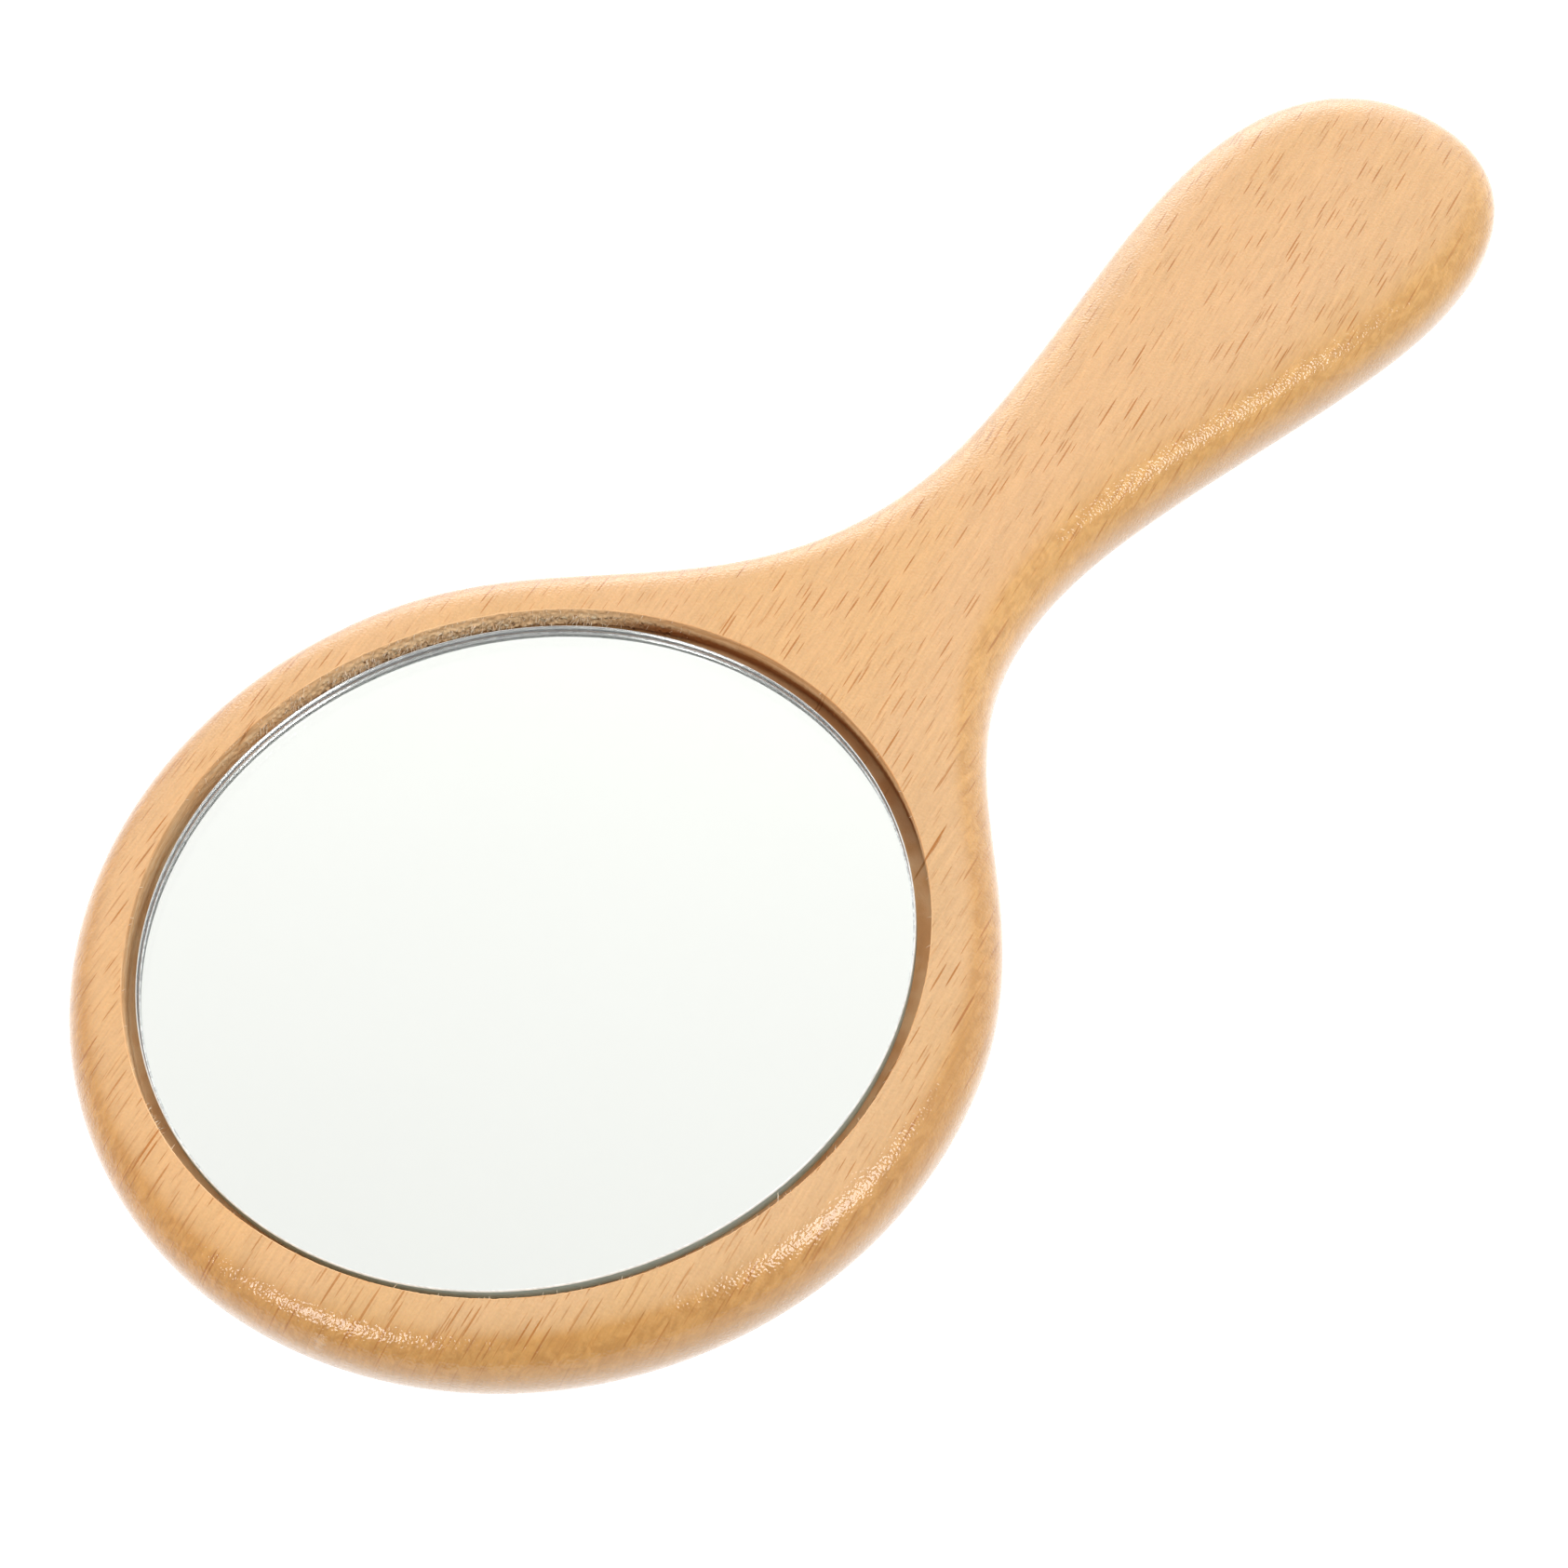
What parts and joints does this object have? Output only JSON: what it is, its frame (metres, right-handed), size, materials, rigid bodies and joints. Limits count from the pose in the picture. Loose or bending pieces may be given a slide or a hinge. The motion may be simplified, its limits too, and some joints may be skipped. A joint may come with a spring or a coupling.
{
  "type": "hand mirror",
  "caption": "Hand mirror with a one-piece wooden head and paddle handle, edges rounded over, and a round glass mirror set in a shallow recess in the head.",
  "frame": {"origin": "on the flat back face, directly under the centre of the mirror recess", "axes": "+Y from the head along the handle, +Z out of the mirror's face, +X across the mirror; it lies on its back on the XY plane"},
  "size_m": [0.1168, 0.2408, 0.016],
  "materials": {
    "lacquered_wood": "pale beech with short darker ray flecks under a clear satin lacquer, bare and rough inside the recess",
    "clear_glass": "clear float glass, polished faces, ground grey-green edge",
    "mirror_coat": "silvered, mirror bright",
    "backing_paint": "matt grey protective paint",
    "foam_pad": "white closed-cell foam pad with adhesive on both faces"
  },
  "bodies": {
    "root": {"wood_body": "lacquered_wood", "mirror_glass": "clear_glass", "silver_film": "mirror_coat", "backing_paint": "backing_paint", "adhesive_pads": "foam_pad"}
  },
  "joints": []
}
